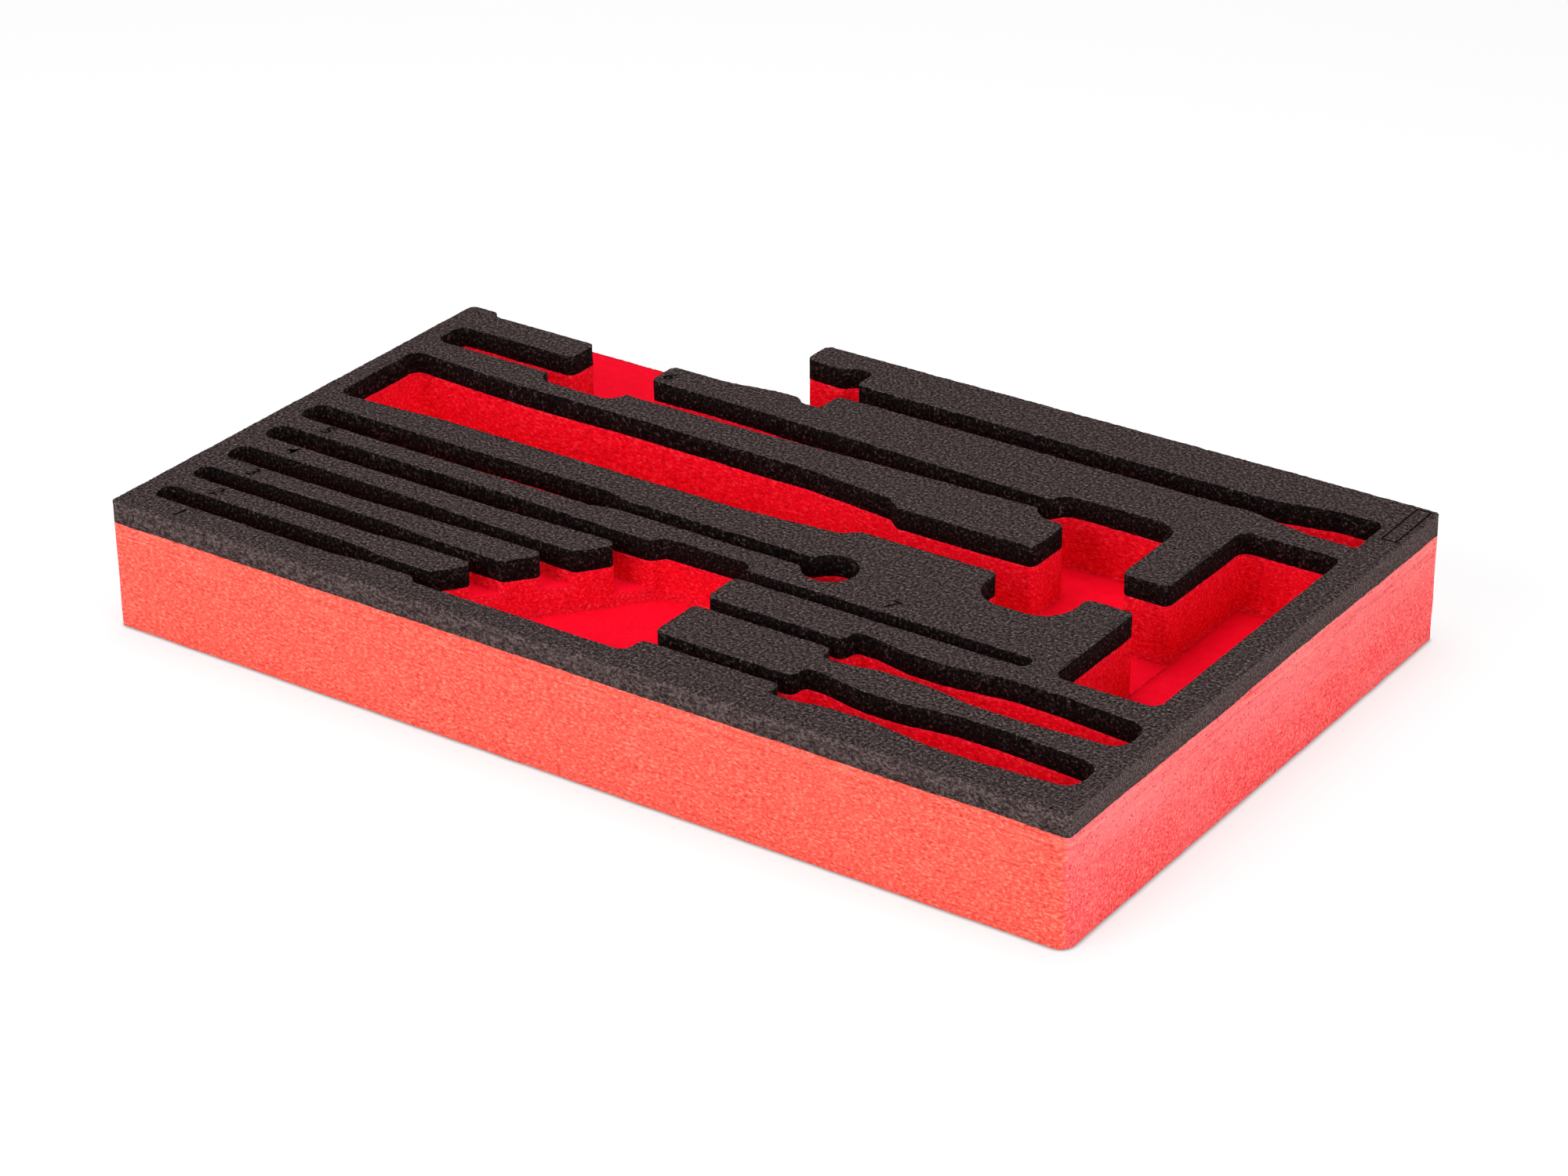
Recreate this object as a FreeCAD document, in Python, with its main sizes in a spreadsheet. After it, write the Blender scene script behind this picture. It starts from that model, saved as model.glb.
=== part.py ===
import FreeCAD, Part
import math
import os
import Sketcher

# Foam insert for a tool drawer: a thin dark ply bonded on a thick red base ply.
# The bonded block is routed from above, each pocket to its own floor in the base,
# and the routed block is then parted at the bond into its two plies.
# Places are measured from the block's front left corner, x along the front, y to the back.
# The finished insert stands on z = 0 with its origin under the middle of the block.

SIZES = [
    # Block
    ("length", 350.0, "block, left to right"),
    ("depth", 222.5, "block, front to back"),
    ("base_ply", 37.0, "thickness of the red base ply"),
    ("top_ply", 7.0, "thickness of the dark top ply"),
    ("block_round", 1.5, "upright corners of the block"),
    ("tip_round", 2.5, "upright corners where pockets meet"),
    ("slot_round", 3.8, "closed corners of slots and pockets"),
    ("soft_round", 40.0, "gentle bends where a slot changes width"),
    ("left_margin", 7.5, "foam left of the pockets that start at the left side"),
    ("overrun", 6.0, "how far a pocket runs on into the next one, or out of the block"),
    # Four slots that open into the front notch, counted from the front
    ("slot_a_axis", 14.8, "y of the slot's middle"),
    ("slot_a_wide", 8.7, "width of the wide part"),
    ("slot_a_narrow", 5.0, "width of the narrow part"),
    ("slot_a_shoulder", 80.0, "x where the wide part ends"),
    ("slot_a_neck", 98.0, "x where the narrow part starts"),
    ("slot_a_floor", 3.5, "floor below the top of the base"),
    ("slot_b_axis", 32.0, "y of the slot's middle"),
    ("slot_b_wide", 8.4, "width of the wide part"),
    ("slot_b_narrow", 5.6, "width of the narrow part"),
    ("slot_b_shoulder", 84.0, "x where the wide part ends"),
    ("slot_b_neck", 98.0, "x where the narrow part starts"),
    ("slot_b_floor", 4.0, "floor below the top of the base"),
    ("slot_c_axis", 49.4, "y of the slot's middle"),
    ("slot_c_wide", 9.8, "width of the wide part"),
    ("slot_c_narrow", 6.0, "width of the narrow part"),
    ("slot_c_shoulder", 68.0, "x where the wide part ends"),
    ("slot_c_neck", 112.0, "x where the narrow part starts"),
    ("slot_c_floor", 4.5, "floor below the top of the base"),
    ("slot_d_axis", 67.8, "y of the slot's middle"),
    ("slot_d_wide", 9.6, "width of the wide part"),
    ("slot_d_narrow", 6.6, "width of the narrow part"),
    ("slot_d_shoulder", 104.0, "x where the wide part ends"),
    ("slot_d_neck", 140.0, "x where the narrow part starts"),
    ("slot_d_floor", 9.5, "floor below the top of the base"),
    # Shared finger notch in the front, with a slanted left side
    ("notch_front", 9.2, "y of its front wall"),
    ("notch_back", 75.3, "y of its back wall"),
    ("notch_left_front", 107.5, "x of the slanted side at the front wall"),
    ("notch_left_back", 160.5, "x of the slanted side at the back wall"),
    ("notch_right", 193.0, "x of its right wall"),
    ("notch_floor", 14.0, "floor below the top of the base"),
    # Short slot right of the notch
    ("short_axis", 68.3, "y of the slot's middle"),
    ("short_width", 5.9, "width of the slot"),
    ("short_right", 295.5, "x of its closed end"),
    ("short_round", 2.4, "corners of its closed end"),
    ("short_floor", 3.5, "floor below the top of the base"),
    # Two waisted pockets with slim slots to the notch
    ("waist_axis", 20.8, "y of the front one's middle"),
    ("waist_pitch", 26.5, "y from the front one to the back one"),
    ("waist_slot", 6.2, "width of the slim slot"),
    ("waist_left", 242.5, "x of the collar end"),
    ("waist_length", 100.7, "collar end to round end"),
    ("waist_collar", 18.2, "width of the collar"),
    ("waist_collar_round", 2.2, "corners of the collar"),
    ("waist_collar_run", 8.0, "length of the collar"),
    ("waist_thin", 13.2, "width at the waist"),
    ("waist_thin_from", 20.0, "start of the waist, from the collar end"),
    ("waist_thin_to", 34.0, "end of the waist, from the collar end"),
    ("waist_belly", 19.0, "width at the belly"),
    ("waist_belly_from", 53.0, "start of the belly, from the collar end"),
    ("waist_belly_to", 70.0, "end of the belly, from the collar end"),
    ("waist_tail", 15.0, "width at the round end"),
    ("waist_end_round", 6.0, "corners of the round end"),
    ("waist_slot_floor", 7.0, "floor of the slim slot below the top of the base"),
    ("waist_floor", 9.0, "floor of the pocket below the top of the base"),
    # Stepped slot with a round finger hole at its end
    ("step_axis", 86.4, "y of the slot's middle"),
    ("step_wide", 11.0, "width of the wide part"),
    ("step_narrow", 6.6, "width of the narrow part"),
    ("step_shoulder", 126.0, "x where the wide part ends"),
    ("step_neck", 133.5, "x where the narrow part starts"),
    ("step_floor", 6.5, "floor below the top of the base"),
    ("hole_x", 213.5, "x of the finger hole's middle"),
    ("hole_radius", 9.0, "radius of the finger hole"),
    ("hole_floor", 14.0, "floor below the top of the base"),
    # Broad pocket, its neck channel and the cross pocket at its right end
    ("broad_axis", 122.2, "y of the pocket's middle"),
    ("broad_butt", 40.6, "width at the left end"),
    ("broad_width", 35.0, "width of the long middle stretch"),
    ("broad_width_from", 50.0, "x where that width starts"),
    ("broad_width_to", 168.0, "x where that width ends"),
    ("broad_front_width", 28.6, "width just before the neck"),
    ("broad_front", 202.5, "x where the broad part ends"),
    ("neck_width", 20.0, "width of the neck channel"),
    ("neck_start", 208.0, "x where the neck channel starts"),
    ("broad_floor", 20.0, "floor below the top of the base"),
    ("cross_left", 305.0, "x of the cross pocket's left wall"),
    ("cross_right", 339.5, "x of its right wall"),
    ("cross_front", 65.5, "y of its front wall"),
    ("cross_back", 177.5, "y of its back wall"),
    ("cross_floor", 20.5, "floor below the top of the base"),
    # Finger notches across the neck channel
    ("lift_left", 257.5, "x of the left wall"),
    ("lift_right", 288.5, "x of the right wall"),
    ("lift_front", 94.2, "y of the front wall"),
    ("lift_back", 169.3, "y of the back wall"),
    ("lift_front_round", 11.0, "front corners"),
    ("lift_back_round", 8.0, "back corners"),
    ("lift_side_left", 244.0, "x of the left wall of the side bay"),
    ("lift_side_front", 151.0, "y of the front wall of the side bay"),
    ("lift_floor", 18.0, "floor below the top of the base"),
    # Long slot that tapers to the right
    ("long_axis", 160.2, "y of the slot's middle"),
    ("long_wide", 13.8, "width of the wide part"),
    ("long_narrow", 6.4, "width at the tip"),
    ("long_shoulder", 130.0, "x where the taper starts"),
    ("long_floor", 6.5, "floor below the top of the base"),
    # Thumb notch between the long slot and the rear pocket
    ("thumb_left", 55.0, "x of the left wall"),
    ("thumb_right", 87.5, "x of the right wall"),
    ("thumb_front", 147.0, "y of the front wall"),
    ("thumb_round", 6.0, "front corners"),
    ("thumb_floor", 14.0, "floor below the top of the base"),
    # Rear pocket, with the slot that runs on from it and flares at its end
    ("rear_axis", 196.2, "y of the pocket's middle"),
    ("rear_left", 11.0, "x of the closed end"),
    ("rear_width", 32.4, "width of the wide stretch"),
    ("rear_width_to", 110.0, "x where that width ends"),
    ("rear_thin", 26.2, "width at the thin stretch"),
    ("rear_thin_from", 128.0, "x where the thin stretch starts"),
    ("rear_thin_to", 136.0, "x where it ends"),
    ("collar_from", 139.5, "x where the collar starts"),
    ("collar_to", 146.5, "x where the collar ends"),
    ("collar_round", 2.4, "corners of the collar"),
    ("rear_floor", 20.0, "floor below the top of the base"),
    ("rear_slot_width", 10.5, "width of the slot"),
    ("rear_slot_floor", 12.0, "slot's floor below the top of the base"),
    ("flare_from", 302.0, "x where the slot starts to flare"),
    ("flare_to", 324.0, "x where the flare is full"),
    ("flare_width", 19.4, "width of the flared end"),
    ("flare_right", 339.5, "x of its closed end"),
    ("flare_round", 1.6, "corners of its closed end"),
    # Cut-away corner at the back left, open to the back and to the left
    ("corner_right", 121.0, "x of its right wall"),
    ("corner_front", 183.0, "y of its front wall"),
    ("corner_floor", 20.0, "floor below the top of the base"),
]


class Size:
    """A length with its value and the expression that binds it to the sheet."""

    def __init__(self, value, text):
        self.value = value
        self.text = text

    def __add__(self, other):
        return Size(self.value + other.value, "(%s + %s)" % (self.text, other.text))

    def __sub__(self, other):
        return Size(self.value - other.value, "(%s - %s)" % (self.text, other.text))

    def __mul__(self, other):
        return Size(self.value * other.value, "(%s * %s)" % (self.text, other.text))

    def __truediv__(self, other):
        return Size(self.value / other.value, "(%s / %s)" % (self.text, other.text))

    def __neg__(self):
        return Size(-self.value, "(0 - %s)" % self.text)


def number(value):
    """A fixed count or share, such as one half."""
    return Size(value, repr(value))


def size(name):
    """The named size from the sheet."""
    for alias, value, note in SIZES:
        if alias == name:
            return Size(value, "Sizes." + alias)
    raise KeyError(name)


def half(length):
    return length / number(2.0)


def fill_sheet(doc):
    """Write every size to the sheet, with its alias and a note beside it."""
    sheet = doc.addObject("Spreadsheet::Sheet", "Sizes")
    for row, (alias, value, note) in enumerate(SIZES, start=1):
        sheet.set("A%d" % row, alias)
        sheet.set("B%d" % row, repr(value))
        sheet.set("C%d" % row, note)
        sheet.setAlias("B%d" % row, alias)
    doc.recompute()


def origin_plane(body, role):
    for feature in body.Origin.OriginFeatures:
        if feature.Role == role:
            return feature
    raise LookupError(role)


def pinned(geometry, position, x, y):
    """Constraints that hold a point at x, y from the front left corner.

    The order of the two points gives the sign of the distance.
    """
    rows = []
    for kind, length, axis in (("DistanceX", x, -2), ("DistanceY", y, -1)):
        if length.value == 0:
            row = (Sketcher.Constraint("PointOnObject", geometry, position, axis), None)
        elif length.value > 0:
            row = (Sketcher.Constraint(kind, -1, 1, geometry, position, length.value), length)
        else:
            row = (Sketcher.Constraint(kind, geometry, position, -1, 1, -length.value), -length)
        rows.append(row)
    return rows


def constrain(sketch, rows):
    """Add the constraints and bind each one that has a length to its sizes."""
    indices = sketch.addConstraint([constraint for constraint, length in rows])
    for index, (constraint, length) in zip(indices, rows):
        if length is not None:
            sketch.setExpression("Constraints[%d]" % index, length.text)


def add_sketch(body, label, level):
    """An empty sketch on the body's XY plane, raised to the named level."""
    sketch = body.newObject("Sketcher::SketchObject", label)
    sketch.AttachmentSupport = (origin_plane(body, "XY_Plane"), [""])
    sketch.MapMode = "FlatFace"
    sketch.setExpression("AttachmentOffset.Base.z", level.text)
    return sketch


def add_outline(sketch, corners):
    """Close an outline through corners (x, y, radius), listed anticlockwise.

    A corner with a radius is a construction point that both its lines aim at,
    with a tangent arc between them. A corner with no radius joins its lines.
    """
    points = [FreeCAD.Vector(x.value, y.value, 0) for x, y, radius in corners]
    count = len(corners)
    starts = []
    ends = []
    for i, (x, y, radius) in enumerate(corners):
        incoming = (points[i] - points[i - 1]).normalize()
        outgoing = (points[(i + 1) % count] - points[i]).normalize()
        turn = math.atan2(incoming.cross(outgoing).z, incoming.dot(outgoing))
        trim = radius.value * math.tan(abs(turn) / 2) if radius else 0.0
        starts.append((points[i] - incoming * trim, incoming, turn))
        ends.append(points[i] + outgoing * trim)
    lines = []
    for i in range(count):
        segment = Part.LineSegment(ends[i], starts[(i + 1) % count][0])
        lines.append(sketch.addGeometry(segment, False))
    rows = []
    for i, (x, y, radius) in enumerate(corners):
        before = lines[i - 1]
        after = lines[i]
        if not radius:
            rows.append((Sketcher.Constraint("Coincident", before, 2, after, 1), None))
            rows += pinned(after, 1, x, y)
            continue
        start, incoming, turn = starts[i]
        side = 1 if turn > 0 else -1
        centre = start + FreeCAD.Vector(-incoming.y, incoming.x, 0) * (side * radius.value)
        rays = [start - centre, ends[i] - centre]
        if side < 0:
            rays.reverse()
        angles = [math.atan2(ray.y, ray.x) for ray in rays]
        circle = Part.Circle(centre, FreeCAD.Vector(0, 0, 1), radius.value)
        arc = sketch.addGeometry(Part.ArcOfCircle(circle, angles[0], angles[1]), False)
        aim = sketch.addGeometry(Part.Point(points[i]), True)
        rows += pinned(aim, 1, x, y)
        first = 1 if side > 0 else 2
        rows.append((Sketcher.Constraint("PointOnObject", aim, 1, before), None))
        rows.append((Sketcher.Constraint("PointOnObject", aim, 1, after), None))
        rows.append((Sketcher.Constraint("Tangent", before, 2, arc, first), None))
        rows.append((Sketcher.Constraint("Tangent", after, 1, arc, 3 - first), None))
        rows.append((Sketcher.Constraint("Radius", arc, radius.value), radius))
    constrain(sketch, rows)


def add_circle(sketch, x, y, radius):
    centre = FreeCAD.Vector(x.value, y.value, 0)
    circle = sketch.addGeometry(Part.Circle(centre, FreeCAD.Vector(0, 0, 1), radius.value), False)
    row = (Sketcher.Constraint("Radius", circle, radius.value), radius)
    constrain(sketch, pinned(circle, 3, x, y) + [row])


def box_corners(left, right, front, back, rounds):
    """Four corners anticlockwise from the front left, with a radius for each or None."""
    places = [(left, front), (right, front), (right, back), (left, back)]
    return [(x, y, radius) for (x, y), radius in zip(places, rounds)]


def mirrored(axis, stations):
    """A closed outline from stations (x, half width, radius), the same on both sides of axis."""
    front = [(x, axis - reach, radius) for x, reach, radius in stations]
    back = [(x, axis + reach, radius) for x, reach, radius in stations]
    return front + back[::-1]


def notch_side(y):
    """x of the slanted side of the front notch at y."""
    run = size("notch_left_back") - size("notch_left_front")
    rise = size("notch_back") - size("notch_front")
    return size("notch_left_front") + (y - size("notch_front")) * run / rise


def tapered_slot(letter):
    """A slot from the left margin to the front notch, wide first and then narrow."""
    part = "slot_%s_" % letter
    axis = size(part + "axis")
    wide = half(size(part + "wide"))
    narrow = half(size(part + "narrow"))
    soft = size("soft_round")
    mouth = notch_side(axis) + size("overrun")
    return mirrored(axis, [
        (size("left_margin"), wide, size("slot_round")),
        (size(part + "shoulder"), wide, soft),
        (size(part + "neck"), narrow, soft),
        (mouth, narrow, None),
    ])


def front_notch():
    front = size("notch_front")
    back = size("notch_back")
    corner = size("slot_round")
    return [
        (size("notch_left_front"), front, corner),
        (size("notch_right"), front, corner),
        (size("notch_right"), back, corner),
        (size("notch_left_back"), back, corner),
    ]


def short_slot():
    reach = half(size("short_width"))
    return mirrored(size("short_axis"), [
        (size("notch_right") - size("overrun"), reach, None),
        (size("short_right"), reach, size("short_round")),
    ])


def waist_row(number_back):
    """y of the front waisted pocket, or of the one behind it."""
    return size("waist_axis") + size("waist_pitch") * number(number_back)


def slim_slot(number_back):
    reach = half(size("waist_slot"))
    return mirrored(waist_row(number_back), [
        (size("notch_right") - size("overrun"), reach, None),
        (size("waist_left") + size("overrun"), reach, None),
    ])


def waisted_pocket(number_back):
    left = size("waist_left")
    soft = size("soft_round")
    collar = half(size("waist_collar"))
    thin = half(size("waist_thin"))
    belly = half(size("waist_belly"))
    return mirrored(waist_row(number_back), [
        (left, collar, size("waist_collar_round")),
        (left + size("waist_collar_run"), collar, half(soft)),
        (left + size("waist_thin_from"), thin, half(soft)),
        (left + size("waist_thin_to"), thin, soft),
        (left + size("waist_belly_from"), belly, soft),
        (left + size("waist_belly_to"), belly, soft + soft),
        (left + size("waist_length"), half(size("waist_tail")), size("waist_end_round")),
    ])


def stepped_slot():
    wide = half(size("step_wide"))
    narrow = half(size("step_narrow"))
    bend = size("slot_round")
    return mirrored(size("step_axis"), [
        (size("left_margin"), wide, bend),
        (size("step_shoulder"), wide, bend),
        (size("step_neck"), narrow, bend),
        (size("hole_x"), narrow, None),
    ])


def broad_pocket():
    soft = size("soft_round")
    tip = size("tip_round")
    width = half(size("broad_width"))
    return mirrored(size("broad_axis"), [
        (size("left_margin"), half(size("broad_butt")), size("slot_round")),
        (size("broad_width_from"), width, soft + soft),
        (size("broad_width_to"), width, soft + soft),
        (size("broad_front"), half(size("broad_front_width")), tip),
        (size("neck_start"), half(size("neck_width")), tip),
        (size("cross_left") + size("overrun"), half(size("neck_width")), None),
    ])


def cross_pocket():
    corner = size("slot_round")
    return box_corners(size("cross_left"), size("cross_right"), size("cross_front"),
                       size("cross_back"), [corner] * 4)


def lift_notch():
    front = size("lift_front_round")
    back = size("lift_back_round")
    return box_corners(size("lift_left"), size("lift_right"), size("lift_front"),
                       size("lift_back"), [front, front, back, None])


def lift_side_bay():
    back = size("lift_back_round")
    return box_corners(size("lift_side_left"), size("lift_left") + size("overrun"),
                       size("lift_side_front"), size("lift_back"), [back, None, None, back])


def long_slot():
    wide = half(size("long_wide"))
    narrow = half(size("long_narrow"))
    return mirrored(size("long_axis"), [
        (size("left_margin"), wide, size("slot_round")),
        (size("long_shoulder"), wide, size("soft_round")),
        (size("lift_side_left") + size("overrun"), narrow, None),
    ])


def thumb_notch():
    corner = size("thumb_round")
    return box_corners(size("thumb_left"), size("thumb_right"), size("thumb_front"),
                       size("rear_axis"), [corner, corner, None, None])


def rear_pocket():
    corner = size("slot_round")
    bend = size("collar_round")
    width = half(size("rear_width"))
    thin = half(size("rear_thin"))
    return mirrored(size("rear_axis"), [
        (size("rear_left"), width, corner),
        (size("rear_width_to"), width, size("soft_round")),
        (size("rear_thin_from"), thin, size("soft_round")),
        (size("rear_thin_to"), thin, bend),
        (size("collar_from"), width, bend),
        (size("collar_to"), width, bend),
        (size("collar_to"), half(size("rear_slot_width")), None),
    ])


def rear_slot():
    reach = half(size("rear_slot_width"))
    flare = half(size("flare_width"))
    bend = half(size("soft_round"))
    return mirrored(size("rear_axis"), [
        (size("collar_to") - size("overrun"), reach, None),
        (size("flare_from"), reach, bend),
        (size("flare_to"), flare, bend),
        (size("flare_right"), flare, size("flare_round")),
    ])


def cut_away_corner():
    """Runs out of the block at the left and at the back."""
    return box_corners(-size("overrun"), size("corner_right"), size("corner_front"),
                       size("depth") + size("overrun"), [None] * 4)


# Every pocket: its name, its outline and its floor below the top of the base.
# Pockets that meet share a group, and their tips are rounded once the group is cut.
GROUPS = [
    ("front_slots", [
        ("front_notch", front_notch(), "notch_floor"),
        ("slot_a", tapered_slot("a"), "slot_a_floor"),
        ("slot_b", tapered_slot("b"), "slot_b_floor"),
        ("slot_c", tapered_slot("c"), "slot_c_floor"),
        ("slot_d", tapered_slot("d"), "slot_d_floor"),
    ]),
    ("waisted_pockets", [
        ("slim_slot_front", slim_slot(0), "waist_slot_floor"),
        ("slim_slot_back", slim_slot(1), "waist_slot_floor"),
        ("waisted_pocket_front", waisted_pocket(0), "waist_floor"),
        ("waisted_pocket_back", waisted_pocket(1), "waist_floor"),
        ("short_slot", short_slot(), "short_floor"),
    ]),
    ("stepped_slot", [
        ("stepped_slot", stepped_slot(), "step_floor"),
        ("finger_hole", None, "hole_floor"),
    ]),
    ("rear_pockets", [
        ("rear_pocket", rear_pocket(), "rear_floor"),
        ("rear_slot", rear_slot(), "rear_slot_floor"),
        ("cut_away_corner", cut_away_corner(), "corner_floor"),
    ]),
    ("broad_pockets", [
        ("broad_pocket", broad_pocket(), "broad_floor"),
        ("cross_pocket", cross_pocket(), "cross_floor"),
        ("lift_side_bay", lift_side_bay(), "lift_floor"),
        ("lift_notch", lift_notch(), "lift_floor"),
        ("long_slot", long_slot(), "long_floor"),
        ("thumb_notch", thumb_notch(), "thumb_floor"),
    ]),
]


def add_block(body):
    """The rectangular block of both plies, before any pocket is cut."""
    sketch = add_sketch(body, "block_outline", number(0.0))
    nothing = number(0.0)
    corner = size("block_round")
    add_outline(sketch, box_corners(nothing, size("length"), nothing, size("depth"), [corner] * 4))
    pad = body.newObject("PartDesign::Pad", "block")
    pad.Profile = sketch
    pad.setExpression("Length", (size("base_ply") + size("top_ply")).text)


def cut_pocket(body, sketch, floor):
    """Cut the sketched outline from the top of the block down to its floor in the base."""
    before = body.Shape.Volume
    pocket = body.newObject("PartDesign::Pocket", sketch.Label + "_cut")
    pocket.Profile = sketch
    pocket.setExpression("Length", (floor + size("top_ply")).text)
    FreeCAD.ActiveDocument.recompute()
    if not body.Shape.Volume < before:
        raise RuntimeError("%s cuts nothing" % sketch.Label)


def shortest_beside(edge, faces):
    """Length of the shortest edge that runs on from either end of an upright edge."""
    ends = [vertex.Point for vertex in edge.Vertexes]
    lengths = []
    for face in faces:
        for other in face.Edges:
            touches = any(vertex.Point.isEqual(end, 0.001)
                          for vertex in other.Vertexes for end in ends)
            if touches and not other.isSame(edge):
                lengths.append(other.Length)
    return min(lengths)


def faces_beside_edges(shape):
    """The faces that meet at each edge, by the edge's hash."""
    beside = {}
    for face in shape.Faces:
        for edge in face.Edges:
            beside.setdefault(edge.hashCode(), []).append(face)
    return beside


def sharp_uprights(shape, radius):
    """Names of the upright edges between two walls that a rounding of this radius fits."""
    beside = faces_beside_edges(shape)
    names = []
    for number_of_edge, edge in enumerate(shape.Edges, start=1):
        if not isinstance(edge.Curve, Part.Line) or abs(edge.Curve.Direction.z) < 0.999:
            continue
        faces = beside[edge.hashCode()]
        if len(faces) != 2:
            continue
        middle = edge.valueAt((edge.FirstParameter + edge.LastParameter) / 2)
        normals = [face.normalAt(*face.Surface.parameter(middle)) for face in faces]
        turn = normals[0].getAngle(normals[1])
        trim = radius.value * math.tan(turn / 2)
        if turn > math.radians(12) and shortest_beside(edge, faces) > 1.1 * trim:
            names.append("Edge%d" % number_of_edge)
    return names


def round_tips(body, group):
    """Round the upright corners left where one pocket of the group runs into another."""
    radius = size("tip_round")
    cut = body.Tip
    names = sharp_uprights(cut.Shape, radius)
    if not names:
        return
    fillet = body.newObject("PartDesign::Fillet", group + "_tips")
    fillet.Base = (cut, names)
    fillet.setExpression("Radius", radius.text)
    FreeCAD.ActiveDocument.recompute()


def cut_all_pockets(body):
    top = size("base_ply") + size("top_ply")
    for group, pockets in GROUPS:
        for name, corners, floor_name in pockets:
            sketch = add_sketch(body, name, top)
            if corners:
                add_outline(sketch, corners)
            else:
                add_circle(sketch, size("hole_x"), size("step_axis"), size("hole_radius"))
            cut_pocket(body, sketch, size(floor_name))
        round_tips(body, group)


def place(item, height):
    """Bring the front left corner frame to the insert's own, at this height."""
    item.setExpression("Placement.Base.x", (-half(size("length"))).text)
    item.setExpression("Placement.Base.y", (-half(size("depth"))).text)
    item.setExpression("Placement.Base.z", height.text)


def route_block(doc):
    """The bonded block with every pocket cut and every tip rounded."""
    body = doc.addObject("PartDesign::Body", "routed_block")
    place(body, number(0.0))
    add_block(body)
    doc.recompute()
    cut_all_pockets(body)
    return body


def part_off(doc, block, name, thickness, height):
    """One ply: what the routed block has between this height and this much above it."""
    zone = doc.addObject("Part::Box", name + "_zone")
    zone.setExpression("Length", size("length").text)
    zone.setExpression("Width", size("depth").text)
    zone.setExpression("Height", thickness.text)
    place(zone, height)
    ply = doc.addObject("Part::Common", name)
    ply.Label = name
    ply.Base = block
    ply.Tool = zone
    doc.recompute()
    return ply


def check(doc, pieces):
    """Stop if any object failed or any piece is not one valid solid."""
    for item in doc.Objects:
        if "Invalid" in item.State or "Error" in item.State:
            raise RuntimeError("%s failed: %s" % (item.Label, item.State))
    for piece in pieces:
        shape = piece.Shape
        if shape.isNull() or not shape.isValid() or len(shape.Solids) != 1:
            raise RuntimeError("%s is not one valid solid" % piece.Label)


def main():
    doc = FreeCAD.newDocument("foam_insert")
    fill_sheet(doc)
    block = route_block(doc)
    base = part_off(doc, block, "base_layer", size("base_ply"), number(0.0))
    top = part_off(doc, block, "top_layer", size("top_ply"), size("base_ply"))
    pieces = [base, top]
    check(doc, pieces)
    os.makedirs("parts", exist_ok=True)
    for piece in pieces:
        piece.Shape.exportStep(os.path.join("parts", piece.Label + ".step"))
        box = piece.Shape.BoundBox
        print("%s: %d faces, %.1f cm3, z %.1f to %.1f" % (
            piece.Label, len(piece.Shape.Faces), piece.Shape.Volume / 1000, box.ZMin, box.ZMax))


main()
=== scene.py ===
"""Foam tool insert: a dark speckled top layer on a thick red base, with routed pockets.

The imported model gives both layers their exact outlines. This add-on turns each
into cut foam: softened rims, edges that wander a little, open cells, blade marks
and engraved place numbers.
"""

import math

import bmesh
import bpy
from bpy.props import (
    FloatProperty,
    FloatVectorProperty,
    IntProperty,
    PointerProperty,
)
from mathutils import Matrix, Vector


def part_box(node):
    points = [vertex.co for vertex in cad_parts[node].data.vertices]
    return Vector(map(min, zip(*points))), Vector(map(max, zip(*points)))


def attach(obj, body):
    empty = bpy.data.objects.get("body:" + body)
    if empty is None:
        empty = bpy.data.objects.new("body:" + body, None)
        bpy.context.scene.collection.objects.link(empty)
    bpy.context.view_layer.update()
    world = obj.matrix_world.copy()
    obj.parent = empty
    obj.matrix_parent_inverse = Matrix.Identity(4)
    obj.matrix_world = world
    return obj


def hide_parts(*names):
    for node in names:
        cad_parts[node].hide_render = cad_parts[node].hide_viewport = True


bl_info = {
    "name": "Foam tool insert",
    "version": (1, 0, 0),
    "blender": (4, 5, 0),
    "location": "View3D > Sidebar > Foam insert",
    "description": "Builds a two-layer foam drawer insert with routed pockets",
    "category": "Add Mesh",
}

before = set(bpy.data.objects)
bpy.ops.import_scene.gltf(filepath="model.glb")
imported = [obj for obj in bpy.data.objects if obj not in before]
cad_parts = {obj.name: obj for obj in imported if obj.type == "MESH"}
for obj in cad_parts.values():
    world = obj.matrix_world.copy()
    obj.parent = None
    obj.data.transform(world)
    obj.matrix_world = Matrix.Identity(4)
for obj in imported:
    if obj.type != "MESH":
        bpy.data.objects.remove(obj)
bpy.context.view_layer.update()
BASE_LOW, BASE_HIGH = (Vector(corner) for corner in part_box("base_layer"))
TOP_LOW, TOP_HIGH = (Vector(corner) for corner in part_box("top_layer"))

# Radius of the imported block's upright corners
BLOCK_ROUND = 0.0015

# Where each engraved number starts, from the block's front left corner, in mm
NUMBER_PLACES = [
    ("1", 21.5, 3.6),
    ("2", 21.5, 21.2),
    ("3", 21.5, 38.2),
    ("4", 21.5, 57.0),
    ("5", 21.5, 75.3),
    ("6", 89.0, 170.6),
    ("7", 240.0, 74.7),
]
# The empty engraved frame at the back right: left, front, right, back, in mm
EMPTY_FRAME = (342.6, 196.4, 348.0, 221.3)
# Height of a digit as a share of the font's size, and how far its strokes lean
DIGIT_SHARE = 0.69
DIGIT_SHEAR = 0.16

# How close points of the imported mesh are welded, and how close a point counts as
# lying at a level, at the bond or on a wall
WELD = 2e-6
SAME_LEVEL = 1e-5
AT_BOND = 2e-5
ON_WALL = 2e-5
# Offset of the cutting grid, so that no cut falls on a wall
GRID_OFFSET = 0.00037

# Upward share of a normal from which a face starts to be level, and fully is
# Routed faces that are not level get painted shade on both foams
LEVEL_FACING = (0.45, 0.85)
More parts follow.
